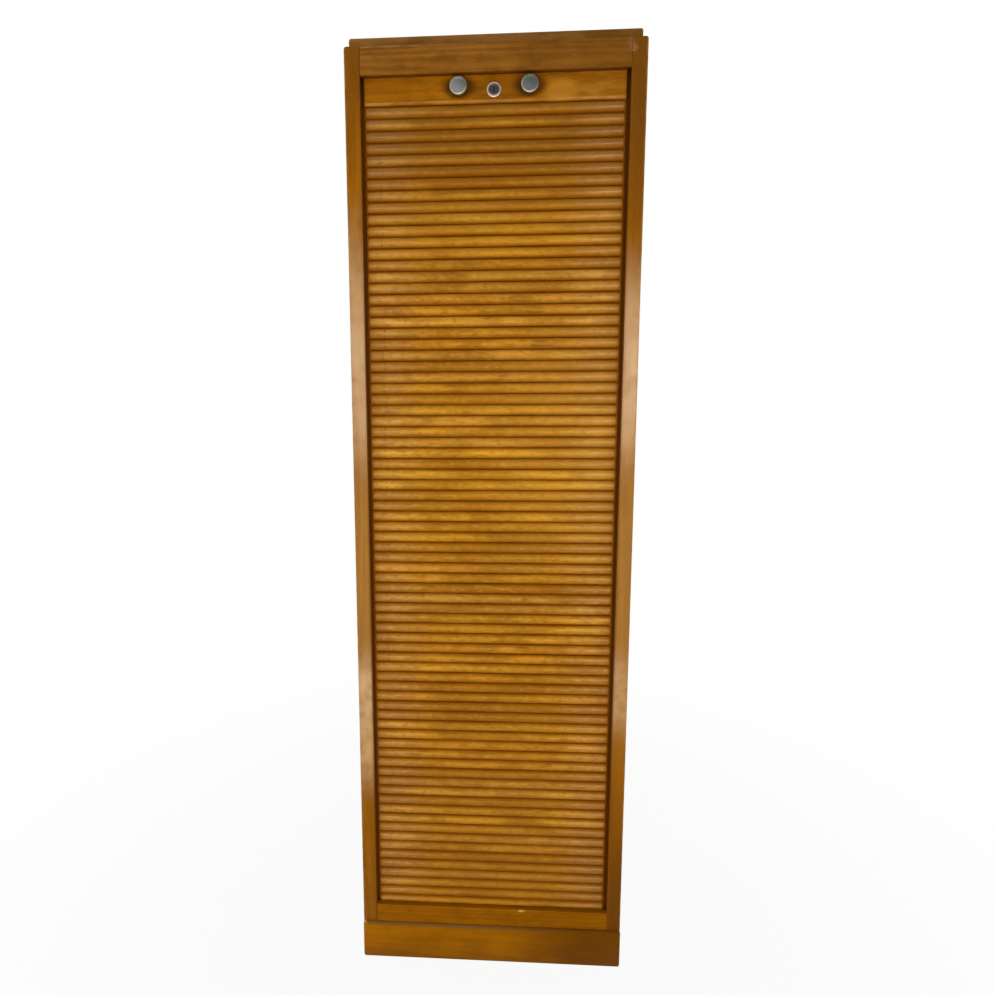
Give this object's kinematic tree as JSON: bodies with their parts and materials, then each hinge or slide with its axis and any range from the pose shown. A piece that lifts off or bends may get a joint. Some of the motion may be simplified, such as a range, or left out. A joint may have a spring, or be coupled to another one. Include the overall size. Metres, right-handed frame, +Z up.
{
  "type": "tambour door cabinet",
  "caption": "Tall narrow oak filing cabinet with a vertical half-round tambour that slides down from a lead slat with two round metal knobs and a lock.",
  "frame": {"origin": "centre of the bounding box on the floor, under the cabinet", "axes": "+X to the right across the front, +Y from the front to the back, +Z up"},
  "size_m": [0.48, 0.409, 1.6212],
  "materials": {
    "oak_frame": "satin varnish, worn",
    "oak_slat": "satin varnish, golden",
    "oak_inner": "bare oak, waxed",
    "ply_back": "plain plywood",
    "knob_metal": "dull turned",
    "nickel": "worn nickel plate",
    "steel": "plain steel"
  },
  "bodies": {
    "cabinet": {"left_side": "oak_frame", "right_side": "oak_frame", "top_rail": "oak_frame", "bottom_rail": "oak_frame", "plinth": "oak_frame", "top_board": "oak_frame", "top_panel": "oak_inner", "bottom_board": "oak_inner", "false_back": "ply_back", "back_panel": "ply_back", "groove_stop_left": "oak_inner", "groove_stop_right": "oak_inner", "rack_front_left": "oak_inner", "rack_front_right": "oak_inner", "rack_rear_left": "oak_inner", "rack_rear_right": "oak_inner", "shelf_1": "oak_inner", "shelf_2": "oak_inner", "shelf_3": "oak_inner", "cleat_1_left": "oak_inner", "cleat_1_right": "oak_inner", "cleat_2_left": "oak_inner", "cleat_2_right": "oak_inner", "cleat_3_left": "oak_inner", "cleat_3_right": "oak_inner", "keeper": "steel", "keeper_screw_left": "steel", "keeper_screw_right": "steel"},
    "tambour": {"lead_slat": "oak_slat", "tambour_section_01": "oak_slat", "tambour_section_02": "oak_slat", "tambour_section_03": "oak_slat", "tambour_section_04": "oak_slat", "tambour_section_05": "oak_slat", "tambour_section_06": "oak_slat", "tambour_section_07": "oak_slat", "tambour_section_08": "oak_slat", "tambour_section_09": "oak_slat", "tambour_section_10": "oak_slat", "tambour_section_11": "oak_slat", "tambour_tail": "oak_slat", "knob_left": "knob_metal", "knob_right": "knob_metal", "knob_screw_left": "steel", "knob_screw_right": "steel", "lock_rosette": "nickel", "lock_housing": "nickel", "lock_nut": "steel"},
    "lock": {"lock_plug": "steel", "lock_hook": "steel", "hook_screw": "steel"}
  },
  "joints": [
    {"name": "tambour_slide", "type": "slide", "parent": "cabinet", "child": "tambour", "axis": [0, 0, -1], "range_m": [0, 1.415], "deforming": ["tambour_section_01", "tambour_section_02", "tambour_section_03", "tambour_section_04", "tambour_section_05", "tambour_section_06", "tambour_section_07", "tambour_section_08", "tambour_section_09", "tambour_section_10", "tambour_section_11", "tambour_tail"]},
    {"name": "lock_turn", "type": "hinge", "parent": "tambour", "child": "lock", "pos_m": [0, -0.166, 1.541], "axis": [0, -1, 0], "range_deg": [0, 90]}
  ]
}
